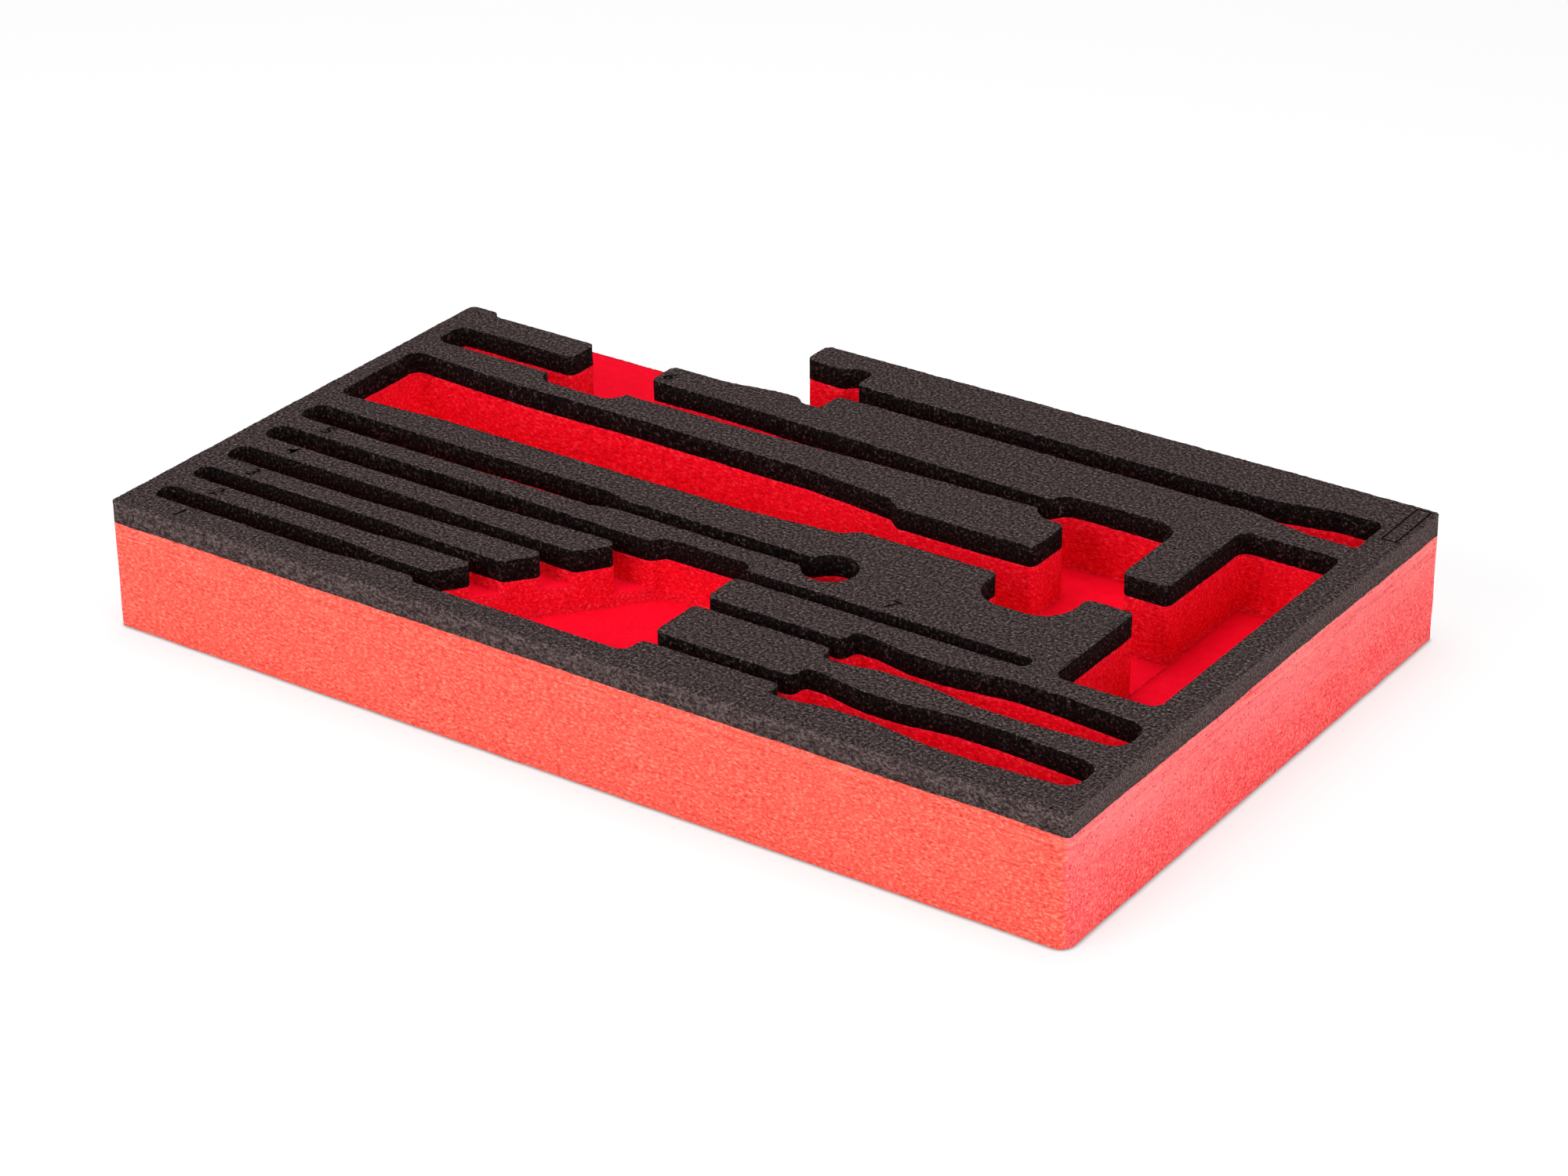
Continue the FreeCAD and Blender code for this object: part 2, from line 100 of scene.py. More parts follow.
# How far inside an outer face the sawn look starts, and from where it is full
SAWN_ZONE = (0.0026, 0.0012)
# The same for the colour of the short sides
END_ZONE = (0.0019, 0.0004)

# Widths of the foam's cells, patches and marks
RED_GRAIN = 0.00080
RED_PATCH = 0.0042
RED_DOT = 0.0017
PALE_BAND = 0.016
SCRATCH = 0.0013
CHARCOAL_GRAIN = 0.00100
CHARCOAL_STREAK = 0.00078
CHARCOAL_PATCH = 0.0030
SCORCH_CRUST = 0.0004
# Stretches of a pattern along x, y and z; a smaller number makes it longer
RED_STRETCH = (0.55, 1.0, 1.0)
BAND_STRETCH = (1.0, 0.30, 1.0)
SCRATCH_STRETCH = (0.035, 0.035, 1.0)
STREAK_STRETCH = (0.70, 1.0, 1.0)

# The blade's level lines: half their spacing, height of the first, and line widths
BLADE_HALF_PITCH = 0.00495
BLADE_FIRST = 0.0029
BLADE_LINE = (0.00006, 0.00030)
# How far the lines sway, and over what length
BLADE_SWAY = 0.0016
BLADE_SWAY_LENGTH = 0.05
# Size of the gaps in the lines, and how strongly the lines show
BLADE_GAPS = 0.004
BLADE_SHARE = 0.50

# Scale of the slow noise that lifts the bond line, and its middle value
BOND_SCALE = 17.0
BOND_MIDDLE = 0.58
# Noise about zero stays close to zero; this factor brings it out to the stated reach
NOISE_REACH = 4.0
# Step through the noise from one seed to the next
SEED_STEP = 0.173

# Half the floor's width
FLOOR_REACH = 12.0
# The floor's matt white, and what the camera sees of it: shadow and glow
FLOOR_WHITE = 0.80
FLOOR_SHADOW = 0.36
FLOOR_GLOW = 0.64
# The painted contact shadow: a thin grey line where the block meets the floor
CONTACT_WIDTH = 0.0026
CONTACT_SHADOW_GREY = 0.36
CONTACT_RANGE = (0.40, 0.85)
# Lamps that face the block: name, place, width and height, property with the power
LAMPS = (
    ("key", (-0.5, -1.5, 0.9), (1.2, 0.9), "key_light"),
    ("top", (-0.1, 0.1, 1.6), (1.0, 1.0), "top_light"),
    ("fill", (1.6, -0.3, 0.6), (1.0, 0.8), "fill_light"),
)


class FoamCut(bpy.types.PropertyGroup):
    """How the foam is cut."""

    rim_round: FloatProperty(
        name="Rim rounding", description="Rounding of the block's level rims",
        default=0.0005, min=0.0, max=0.002, unit="LENGTH")
    near_round: FloatProperty(
        name="Near corner",
        description="Radius of the front right upright corner at the bottom",
        default=0.0042, min=0.0015, max=0.007, unit="LENGTH")
    cell: FloatProperty(
        name="Mesh step", description="Largest step of the mesh across a face",
        default=0.0035, min=0.001, max=0.02, unit="LENGTH")
    wander: FloatProperty(
        name="Edge wander", description="How far a cut wall strays from its line",
        default=0.00016, min=0.0, max=0.001, unit="LENGTH")
    wander_length: FloatProperty(
        name="Wander length", description="Length over which a cut wall strays",
        default=0.011, min=0.002, max=0.1, unit="LENGTH")
    bond_wave: FloatProperty(
        name="Bond wave", description="How far the bond line rises and falls",
        default=0.00045, min=0.0, max=0.002, unit="LENGTH")
    tear: FloatProperty(
        name="Tear", description="How far the torn cells along a rim stand out",
        default=0.00013, min=0.0, max=0.001, unit="LENGTH")
    tear_length: FloatProperty(
        name="Tear length", description="Length of one torn spot along a rim",
        default=0.0013, min=0.0003, max=0.01, unit="LENGTH")
    rim_step: FloatProperty(
        name="Rim step", description="Step of the mesh along the rims",
        default=0.0009, min=0.0003, max=0.01, unit="LENGTH")
    seed: IntProperty(
        name="Seed", description="Picks another run of the same wander",
        default=4, min=0)


class FoamColours(bpy.types.PropertyGroup):
    """Colours of the two foams."""

    red: FloatVectorProperty(
        name="Red", description="Sawn long sides of the base foam",
        subtype="COLOR", size=3, default=(0.97, 0.118, 0.082), min=0.0, max=1.0)
    red_end: FloatVectorProperty(
        name="Red ends", description="Sawn short sides of the base foam",
        subtype="COLOR", size=3, default=(1.0, 0.094, 0.107), min=0.0, max=1.0)
    # Also painted light: the short sides fade to this colour towards their top
    red_pale_bands_and_light: FloatVectorProperty(
        name="Pale bands", description="Pale bands on the short sides of the base foam",
        subtype="COLOR", size=3, default=(1.0, 0.27, 0.28), min=0.0, max=1.0)
    red_light: FloatVectorProperty(
        name="Red cells", description="Light cell walls of the base foam",
        subtype="COLOR", size=3, default=(1.0, 0.33, 0.25), min=0.0, max=1.0)
    red_deep: FloatVectorProperty(
        name="Red pits", description="Open pits of the base foam",
        subtype="COLOR", size=3, default=(0.70, 0.028, 0.030), min=0.0, max=1.0)
    red_floor: FloatVectorProperty(
        name="Routed floor", description="Routed floors of the pockets",
        subtype="COLOR", size=3, default=(0.98, 0.002, 0.022), min=0.0, max=1.0)
    # The routed wall red is darker than the floor red; the difference is painted shade
    red_wall_painted_shade: FloatVectorProperty(
        name="Routed wall", description="Routed red walls of the pockets",
        subtype="COLOR", size=3, default=(0.86, 0.003, 0.018), min=0.0, max=1.0)
    charcoal: FloatVectorProperty(
        name="Charcoal", description="Body colour of the top foam",
        subtype="COLOR", size=3, default=(0.042, 0.029, 0.028), min=0.0, max=1.0)
    charcoal_light: FloatVectorProperty(
        name="Charcoal cells", description="Light cell walls of the top foam",
        subtype="COLOR", size=3, default=(0.185, 0.142, 0.138), min=0.0, max=1.0)
    charcoal_deep: FloatVectorProperty(
        name="Charcoal pits", description="Open pits of the top foam",
        subtype="COLOR", size=3, default=(0.003, 0.002, 0.002), min=0.0, max=1.0)
    scorch: FloatVectorProperty(
        name="Scorch", description="Burnt floor of the engraved marks",
        subtype="COLOR", size=3, default=(0.003, 0.0025, 0.0025), min=0.0, max=1.0)


class FoamNumbers(bpy.types.PropertyGroup):
    """The engraved place numbers and the empty frame."""

    height: FloatProperty(
        name="Height", description="Height of a digit",
        default=0.0050, min=0.002, max=0.02, unit="LENGTH")
    depth: FloatProperty(
        name="Depth", description="Depth of the engraving",
        default=0.0008, min=0.0001, max=0.003, unit="LENGTH")
    swelling: FloatProperty(
        name="Swelling", description="How much each stroke is thickened on both sides",
        default=0.00011, min=0.0, max=0.001, unit="LENGTH")
    frame_line: FloatProperty(
        name="Frame line", description="Width of the engraved frame's line",
        default=0.0006, min=0.0002, max=0.003, unit="LENGTH")


class FoamStage(bpy.types.PropertyGroup):
    """Floor, lamps and camera."""

    camera_place: FloatVectorProperty(
        name="Camera place", description="Where the camera stands",
        subtype="XYZ", unit="LENGTH", size=3, default=(0.67497, -0.97009, 0.62754))
    camera_aim: FloatVectorProperty(
        name="Camera aim", description="Direction in which the camera looks",
        subtype="DIRECTION", size=3, default=(-0.50498526, 0.73040466, -0.45989011))
    camera_roll: FloatProperty(
        name="Camera roll", description="Turn of the camera about its line of sight",
        subtype="ANGLE", default=math.radians(-0.44))
    camera_lens: FloatProperty(
        name="Lens", description="Focal length for a frame 36 mm wide",
        unit="CAMERA", default=97.1)
    world_light: FloatProperty(
        name="Sky light", description="Strength of the even light from all round",
        default=0.40, min=0.0, max=2.0)
    key_light: FloatProperty(
        name="Key lamp", description="Power of the large lamp at the front",
        unit="POWER", default=15.0, min=0.0)
    top_light: FloatProperty(
        name="Top lamp", description="Power of the large lamp straight above",
        unit="POWER", default=12.0, min=0.0)
    fill_light: FloatProperty(
        name="Fill lamp", description="Power of the large lamp at the right",
        unit="POWER", default=12.0, min=0.0)


def add_node(tree, kind, inputs=None, **settings):
    """A node with its settings and the defaults of its inputs."""
    node = tree.nodes.new(kind)
    for name, value in settings.items():
        setattr(node, name, value)
    for name, value in (inputs or {}).items():
        node.inputs[name].default_value = value
    return node


def link(tree, source, out, target, into):
    tree.links.new(source.outputs[out], target.inputs[into])


def math_node(tree, operation, first, second=None, third=None):
    """A Math node fed by sockets or plain numbers; returns its output socket."""
    node = tree.nodes.new("ShaderNodeMath")
    node.operation = operation
    for index, value in enumerate((first, second, third)):
        if value is None:
            continue
        if isinstance(value, (int, float)):
            node.inputs[index].default_value = value
        else:
            tree.links.new(value, node.inputs[index])
    return node.outputs[0]


def mix_colour(tree, factor, first, second):
    """Mix two colours, each a socket or a plain colour; returns the colour socket."""
    node = tree.nodes.new("ShaderNodeMix")
    node.data_type = "RGBA"
    tree.links.new(factor, node.inputs["Factor"])
    for socket, value in ((node.inputs[6], first), (node.inputs[7], second)):
        if isinstance(value, bpy.types.NodeSocket):
            tree.links.new(value, socket)
        else:
            socket.default_value = (*value, 1.0)
    return node.outputs[2]


def ramp(tree, value, low, high):
    """0 below low, 1 above high and smooth between; returns the socket."""
    node = add_node(tree, "ShaderNodeMapRange", {1: low, 2: high, 3: 0.0, 4: 1.0},
                    interpolation_type="SMOOTHSTEP")
    tree.links.new(value, node.inputs[0])
    return node.outputs[0]


def noise(tree, vector, size, detail=2.0, roughness=0.5):
    """Noise whose bumps are about size metres wide; returns the factor socket."""
    node = add_node(tree, "ShaderNodeTexNoise",
                    {"Scale": 1.0 / size, "Detail": detail, "Roughness": roughness})
    tree.links.new(vector, node.inputs["Vector"])
    return node.outputs["Fac"]


def new_material(name):
    material = bpy.data.materials.new(name)
    material.use_nodes = True
    tree = material.node_tree
    tree.nodes.clear()
    output = tree.nodes.new("ShaderNodeOutputMaterial")
    shader = add_node(tree, "ShaderNodeBsdfPrincipled",
                      {"Roughness": 0.95, "Specular IOR Level": 0.06})
    link(tree, shader, "BSDF", output, "Surface")
    place = tree.nodes.new("ShaderNodeTexCoord")
    return material, tree, shader, place.outputs["Object"]


def scaled(tree, vector, factor):
    """A vector or colour times a factor, which is a number, a triple or a socket."""
    if isinstance(factor, tuple):
        node = add_node(tree, "ShaderNodeVectorMath", operation="MULTIPLY")
        node.inputs[1].default_value = factor
    else:
        node = add_node(tree, "ShaderNodeVectorMath", operation="SCALE")
        if isinstance(factor, float):
            node.inputs["Scale"].default_value = factor
        else:
            tree.links.new(factor, node.inputs["Scale"])
    tree.links.new(vector, node.inputs[0])
    return node.outputs[0]


def inverse(tree, value):
    return math_node(tree, "SUBTRACT", 1.0, value)


def times(tree, first, second):
    return math_node(tree, "MULTIPLY", first, second)


def above(tree, value, low, high, share=1.0):
    """Nothing below low, the whole share above high."""
    return times(tree, ramp(tree, value, low, high), share)


def below(tree, value, low, high, share=1.0):
    """The whole share below low, nothing above high."""
    return times(tree, inverse(tree, ramp(tree, value, low, high)), share)


def varied(tree, colour, value, spread, least):
    """A colour made darker or lighter by a value between 0 and 1."""
    return scaled(tree, colour, math_node(tree, "MULTIPLY_ADD", value, spread, least))


def regions(tree, place):
    """Shares of level faces, short sides and all outer sides, and the height."""
    normal = tree.nodes.new("ShaderNodeNewGeometry")
    facing = tree.nodes.new("ShaderNodeSeparateXYZ")
    tree.links.new(normal.outputs["True Normal"], facing.inputs[0])
    level = ramp(tree, facing.outputs["Z"], *LEVEL_FACING)
    split = tree.nodes.new("ShaderNodeSeparateXYZ")
    tree.links.new(place, split.inputs[0])
    across = math_node(tree, "ABSOLUTE", split.outputs["X"])
    back = math_node(tree, "ABSOLUTE", split.outputs["Y"])
    start, full = SAWN_ZONE
    outer = math_node(tree, "MAXIMUM",
                      ramp(tree, across, BASE_HIGH.x - start, BASE_HIGH.x - full),
                      ramp(tree, back, BASE_HIGH.y - start, BASE_HIGH.y - full))
    start, full = END_ZONE
    ends = ramp(tree, across, BASE_HIGH.x - start, BASE_HIGH.x - full)
    return level, ends, outer, split.outputs["Z"]


def blade_marks(tree, place, height):
    """Fine level lines that the blade left, one for each pass."""
    sway = noise(tree, place, BLADE_SWAY_LENGTH, 1.0)
    sway = times(tree, math_node(tree, "SUBTRACT", sway, 0.5), BLADE_SWAY)
    level = math_node(tree, "ADD", height, sway)
    turn = math_node(tree, "WRAP", math_node(tree, "SUBTRACT", level, BLADE_FIRST),
                     BLADE_HALF_PITCH, -BLADE_HALF_PITCH)
    line = below(tree, math_node(tree, "ABSOLUTE", turn), *BLADE_LINE)
    return times(tree, line, ramp(tree, noise(tree, place, BLADE_GAPS), 0.38, 0.62))


def bump(tree, shader, height, distance, strength):
    node = add_node(tree, "ShaderNodeBump",
                    {"Distance": distance, "Strength": strength})
    tree.links.new(height, node.inputs["Height"])
    tree.links.new(node.outputs[0], shader.inputs["Normal"])


def sawn_red(tree, colours, place, ends, height, grain, patch):
    """Sawn outer sides of the base: light cell walls, dark pits and blade traces."""
    light, deep = colours.red_light, colours.red_deep
    colour = mix_colour(tree, ends, colours.red, colours.red_end)
    colour = mix_colour(tree, above(tree, grain, 0.48, 0.68, 0.88), colour, light)
    colour = mix_colour(tree, below(tree, grain, 0.30, 0.47, 0.88), colour, deep)
    colour = mix_colour(tree, above(tree, patch, 0.50, 0.72, 0.14), colour, light)
    # The short sides get paler in bands, and paler towards the bond as painted light on
    # their upper part
    pale_bands_and_top_light = noise(tree, scaled(tree, place, BAND_STRETCH), PALE_BAND)
    pale_bands_and_top_light = math_node(tree, "ADD", above(tree, pale_bands_and_top_light, 0.46, 0.66, 0.20),
                     above(tree, height, 0.008, 0.037, 0.40))
    colour = mix_colour(tree, times(tree, pale_bands_and_top_light, ends), colour, colours.red_pale_bands_and_light)
    # Long scratches below the bond
    high = ramp(tree, height, 0.024, 0.033)
    scratch = noise(tree, scaled(tree, place, SCRATCH_STRETCH), SCRATCH, 3.0, 0.6)
    pale = times(tree, above(tree, scratch, 0.55, 0.66, 0.45), high)
    colour = mix_colour(tree, pale, colour, light)
    dark = times(tree, below(tree, scratch, 0.34, 0.42, 0.45), high)
    colour = mix_colour(tree, dark, colour, deep)
    # Single pits, more of them on the short sides
    dots = add_node(tree, "ShaderNodeTexVoronoi", {"Scale": 1.0 / RED_DOT})
    tree.links.new(place, dots.inputs["Vector"])
    dot = times(tree, below(tree, dots.outputs["Distance"], 0.12, 0.26),
                math_node(tree, "MULTIPLY_ADD", ends, 0.50, 0.35))
    return mix_colour(tree, dot, colour, deep)


def routed_red_with_wall_shade(tree, colours, level, grain, patch):
    """Routed floors and walls of the base, deep and clean; the walls are darker than
    the floors, which is painted shade.
    """
    # Painted shade: the routed walls take the darker wall red, and their grain pits
    # darken them further
    wall = mix_colour(tree, above(tree, grain, 0.52, 0.70, 0.55), colours.red_wall_painted_shade,
                      colours.red_end)
    wall = varied(tree, wall, ramp(tree, grain, 0.32, 0.50), 0.40, 0.62)
    bottom = mix_colour(tree, above(tree, grain, 0.54, 0.72, 0.12), colours.red_floor,
                        colours.red_end)
    return varied(tree, mix_colour(tree, level, wall, bottom), patch, 0.24, 0.88)


def red_foam(colours):
    """Red foam: pale and streaked where sawn, deep and clean where routed, with painted
    shade on the routed walls.
    """
    material, tree, shader, place = new_material("red_foam")
    level, ends, outer, height = regions(tree, place)
    outer = times(tree, outer, inverse(tree, level))
    grain = noise(tree, scaled(tree, place, RED_STRETCH), RED_GRAIN, 4.0, 0.66)
    patch = noise(tree, place, RED_PATCH)
    sawn = sawn_red(tree, colours, place, ends, height, grain, patch)
    routed_with_painted_shade = routed_red_with_wall_shade(tree, colours, level, grain, patch)
    colour = mix_colour(tree, outer, routed_with_painted_shade, sawn)
    marks = times(tree, blade_marks(tree, place, height), outer)
    colour = mix_colour(tree, times(tree, marks, BLADE_SHARE), colour, colours.red_deep)
    tree.links.new(colour, shader.inputs["Base Color"])
    relief = math_node(tree, "SUBTRACT", grain, times(tree, marks, 0.5))
    bump(tree, shader, relief, 0.0003, 0.5)
    return material


def charcoal_foam(colours):
    """Dark foam with pale cell walls and black pits, darkest on its routed walls, from
    torn routed cells and from painted shade.
    """
    material, tree, shader, place = new_material("charcoal_foam")
    level, _, outer, _ = regions(tree, place)
    light, deep = colours.charcoal_light, colours.charcoal_deep
    grain = noise(tree, place, CHARCOAL_GRAIN, 4.0, 0.72)
    stretched = scaled(tree, place, STREAK_STRETCH)
    streak = noise(tree, stretched, CHARCOAL_STREAK, 4.0, 0.74)
    patch = noise(tree, place, CHARCOAL_PATCH, 2.0, 0.6)
    cells = mix_colour(tree, above(tree, grain, 0.50, 0.68), colours.charcoal, light)
    cells = mix_colour(tree, below(tree, grain, 0.37, 0.50), cells, deep)
    # The sawn band shows long torn flecks on a body half again as light; that extra
    # lightness is partly painted light caught by the sawn cells
    body = tuple(1.5 * value for value in colours.charcoal)
    sawn = mix_colour(tree, above(tree, streak, 0.46, 0.66), body, light)
    sawn = mix_colour(tree, below(tree, streak, 0.36, 0.48, 0.75), sawn, deep)
    colour = mix_colour(tree, times(tree, outer, inverse(tree, level)), cells, sawn)
    colour = varied(tree, colour, patch, 0.40, 0.80)
    # Routed walls are nearly black, with a few pale cells: torn routed cells, and
    # painted shade deep in the slots
    routed_with_painted_shade = mix_colour(tree, above(tree, grain, 0.56, 0.70, 0.55),
                        scaled(tree, cells, 0.16), light)
    colour = mix_colour(tree, math_node(tree, "MAXIMUM", level, outer), routed_with_painted_shade, colour)
    tree.links.new(colour, shader.inputs["Base Color"])
    bump(tree, shader, grain, 0.0004, 0.8)
    return material


def scorched_foam(colours):
    """Burnt walls and floor of an engraved mark."""
    material, tree, shader, place = new_material("scorched_foam")
    crust = noise(tree, place, SCORCH_CRUST, 3.0)
    colour = mix_colour(tree, ramp(tree, crust, 0.45, 0.95), colours.scorch,
                        colours.charcoal)
    tree.links.new(colour, shader.inputs["Base Color"])
    bump(tree, shader, crust, 0.0001, 0.5)
    return material


def add_mesh_object(name, mesh):
    piece = bpy.data.objects.new(name, mesh)
    bpy.context.scene.collection.objects.link(piece)
    return piece


def layer_copy(node):
    """The layer's mesh with its loose triangles joined and its flat faces whole."""
    mesh = bpy.data.meshes.new(node + "_cut")
    edit = bmesh.new()
    edit.from_mesh(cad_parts[node].data)
    bmesh.ops.remove_doubles(edit, verts=edit.verts, dist=WELD)
    bmesh.ops.dissolve_limit(edit, angle_limit=math.radians(0.6), verts=edit.verts,
                             edges=edit.edges)
    for face in edit.faces:
        face.material_index = 0
    edit.to_mesh(mesh)
    edit.free()
    mesh.materials.clear()
    return mesh


def soften_near_corner(edit, bottom_radius):
    """Round the base's front right upright corner ever more towards its bottom."""
    packed_middle = Vector((BASE_HIGH.x - BLOCK_ROUND, BASE_LOW.y + BLOCK_ROUND))
    for vert in edit.verts:
        out = vert.co.xy - packed_middle
        if out.x > -ON_WALL and out.y < ON_WALL and vert.co.z < BASE_HIGH.z:
            share = 1.0 - vert.co.z / BASE_HIGH.z
            radius = BLOCK_ROUND + share * (bottom_radius - BLOCK_ROUND)
            middle = Vector((BASE_HIGH.x - radius, BASE_LOW.y + radius))
            vert.co.xy = middle + out * (radius / BLOCK_ROUND)


def round_rims(edit, level, rounding):
    """Round the rims of the face at this level."""
    rims = []
    for edge in edit.edges:
        if len(edge.link_faces) != 2:
            continue
        if any(abs(vert.co.z - level) > SAME_LEVEL for vert in edge.verts):
            continue
        flat = [abs(face.normal.z) > 0.9 for face in edge.link_faces]
        plain = all(face.material_index == 0 for face in edge.link_faces)
        if flat.count(True) == 1 and plain:
            rims.append(edge)
    bmesh.ops.bevel(edit, geom=rims, offset=rounding, offset_type="OFFSET", segments=2,
                    profile=0.5, affect="EDGES", clamp_overlap=True)


def slice_faces(edit, low, high, step):
    """Cut every face on a square grid, the same one for both layers."""
    for axis in range(3):
        normal = Vector([1.0 if i == axis else 0.0 for i in range(3)])
        pitch = step if axis < 2 else 2.0 * step
        first = math.floor(low[axis] / pitch) + 1
        last = math.ceil(high[axis] / pitch) - 1
        for k in range(first, last + 1):
            whole = list(edit.verts) + list(edit.edges) + list(edit.faces)
            bmesh.ops.bisect_plane(edit, geom=whole, dist=1e-6, plane_no=normal,
                                   plane_co=normal * (k * pitch + GRID_OFFSET))


def split_rims(edit, step):
    """Put points along every rim, so that its torn cells can stand out."""
    groups = {}
    for edge in edit.edges:
        cuts = int(edge.calc_length() / step)
        if cuts == 0 or len(edge.link_faces) != 2:
            continue
        if abs(edge.verts[0].co.z - edge.verts[1].co.z) > 1e-6:
            continue
        if edge.calc_face_angle(0.0) > math.radians(5):
            groups.setdefault(cuts, []).append(edge)
    for cuts, edges in groups.items():
        bmesh.ops.subdivide_edges(edit, edges=edges, cuts=cuts)


def centred_noise(tree, vector, scale, detail):
    """Noise about zero in x, y and z; scale is a socket."""
    node = add_node(tree, "ShaderNodeTexNoise", {"Detail": detail, "Roughness": 0.6})
    tree.links.new(vector, node.inputs["Vector"])
    tree.links.new(scale, node.inputs["Scale"])
    middle = add_node(tree, "ShaderNodeVectorMath", operation="SUBTRACT")
    tree.links.new(node.outputs["Color"], middle.inputs[0])
    middle.inputs[1].default_value = (0.5, 0.5, 0.5)
    return middle.outputs[0]


def wander_tree(material):
    """Geometry Nodes that let cut walls stray, rims tear and the bond line wave."""
    tree = bpy.data.node_groups.new("cut_wander", "GeometryNodeTree")
    face = tree.interface
    face.new_socket("Geometry", in_out="INPUT", socket_type="NodeSocketGeometry")
    for name in ("Wander", "Wander length", "Tear", "Tear length", "Bond wave",
                 "Bond level"):
        face.new_socket(name, in_out="INPUT", socket_type="NodeSocketFloat")
    face.new_socket("Seed", in_out="INPUT", socket_type="NodeSocketInt")
    face.new_socket("Geometry", in_out="OUTPUT", socket_type="NodeSocketGeometry")
    given = tree.nodes.new("NodeGroupInput")
    result = tree.nodes.new("NodeGroupOutput")
    place = tree.nodes.new("GeometryNodeInputPosition")
    split = tree.nodes.new("ShaderNodeSeparateXYZ")
    link(tree, place, 0, split, 0)
    # Walls stray sideways by a noise of x and y only, so they stay upright
    flat = tree.nodes.new("ShaderNodeCombineXYZ")
    link(tree, split, "X", flat, "X")
    link(tree, split, "Y", flat, "Y")
    tree.links.new(times(tree, given.outputs["Seed"], SEED_STEP), flat.inputs["Z"])
    size = math_node(tree, "DIVIDE", 1.0, given.outputs["Wander length"])
    stray = scaled(tree, centred_noise(tree, flat.outputs[0], size, 2.0),
                   times(tree, given.outputs["Wander"], NOISE_REACH))
    stray = scaled(tree, stray, (1.0, 1.0, 0.0))
    # Torn cells stand out every way, but never below the bottom
    size = math_node(tree, "DIVIDE", 1.0, given.outputs["Tear length"])
    torn = scaled(tree, centred_noise(tree, place.outputs[0], size, 1.0),
                  times(tree, given.outputs["Tear"], NOISE_REACH))
    torn = scaled(tree, torn, ramp(tree, split.outputs["Z"], 0.0, 0.004))
    # The bond line waves where the two layers meet
    slow = add_node(tree, "ShaderNodeTexNoise",
                    {"Scale": BOND_SCALE, "Detail": 2.0, "Roughness": 0.5})
    link(tree, flat, 0, slow, "Vector")
    gap = math_node(tree, "SUBTRACT", split.outputs["Z"], given.outputs["Bond level"])
    near = math_node(tree, "LESS_THAN", math_node(tree, "ABSOLUTE", gap), AT_BOND)
    wave = times(tree, math_node(tree, "SUBTRACT", slow.outputs["Fac"], BOND_MIDDLE),
                 times(tree, given.outputs["Bond wave"], NOISE_REACH))
    rise = tree.nodes.new("ShaderNodeCombineXYZ")
    tree.links.new(times(tree, wave, near), rise.inputs["Z"])
    offset = rise.outputs[0]
    for part in (stray, torn):
        total = add_node(tree, "ShaderNodeVectorMath", operation="ADD")
        tree.links.new(offset, total.inputs[0])
        tree.links.new(part, total.inputs[1])
        offset = total.outputs[0]
    move = tree.nodes.new("GeometryNodeSetPosition")
    link(tree, given, "Geometry", move, "Geometry")
    tree.links.new(offset, move.inputs["Offset"])
    realize = tree.nodes.new("GeometryNodeRealizeInstances")
    link(tree, move, 0, realize, 0)
    foam = tree.nodes.new("GeometryNodeMaterialSelection")
    foam.inputs["Material"].default_value = material
    finish = tree.nodes.new("GeometryNodeSetMaterial")
    finish.inputs["Material"].default_value = material
    link(tree, realize, 0, finish, "Geometry")
    link(tree, foam, 0, finish, "Selection")
    link(tree, finish, 0, result, 0)
    return tree


def apply_wander(piece, material, cut):
    """Run the wander tree on a piece and keep its result as the piece's mesh."""
    tree = wander_tree(material)
    modifier = piece.modifiers.new("wander", "NODES")
    modifier.node_group = tree
    values = {"Wander": cut.wander, "Wander length": cut.wander_length,
              "Tear": cut.tear, "Tear length": cut.tear_length,
              "Bond wave": cut.bond_wave, "Bond level": BASE_HIGH.z, "Seed": cut.seed}
    for item in tree.interface.items_tree:
        if item.in_out == "INPUT" and item.name in values:
            modifier[item.identifier] = values[item.name]
    graph = bpy.context.evaluated_depsgraph_get()
    result = bpy.data.meshes.new_from_object(piece.evaluated_get(graph))
    piece.modifiers.remove(modifier)
    piece.data = result


def cut_layer(node, material, level, cut, cutter=None, cutter_material=None):
    """One layer as cut foam that replaces its node, with the rims at level rounded."""
    piece = add_mesh_object("foam_" + node, layer_copy(node))
    piece.data.materials.append(material)
    if cutter:
        piece.data.materials.append(cutter_material)
        carve = piece.modifiers.new("carve", "BOOLEAN")
        carve.operation = "DIFFERENCE"
        carve.solver = "EXACT"
        carve.material_mode = "TRANSFER"
        carve.object = cutter
        graph = bpy.context.evaluated_depsgraph_get()
        carved = bpy.data.meshes.new_from_object(piece.evaluated_get(graph))
        piece.modifiers.remove(carve)
        piece.data = carved
    edit = bmesh.new()
    edit.from_mesh(piece.data)
    soften_near_corner(edit, cut.near_round)
    round_rims(edit, level, cut.rim_round)
    low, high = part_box(node)
    slice_faces(edit, low, high, cut.cell)
    split_rims(edit, cut.rim_step)
    edit.to_mesh(piece.data)
    edit.free()
    apply_wander(piece, material, cut)
    piece.data.shade_smooth()
    piece.data.set_sharp_from_angle(angle=math.radians(50))
    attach(piece, "root")
    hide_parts(node)
    return piece


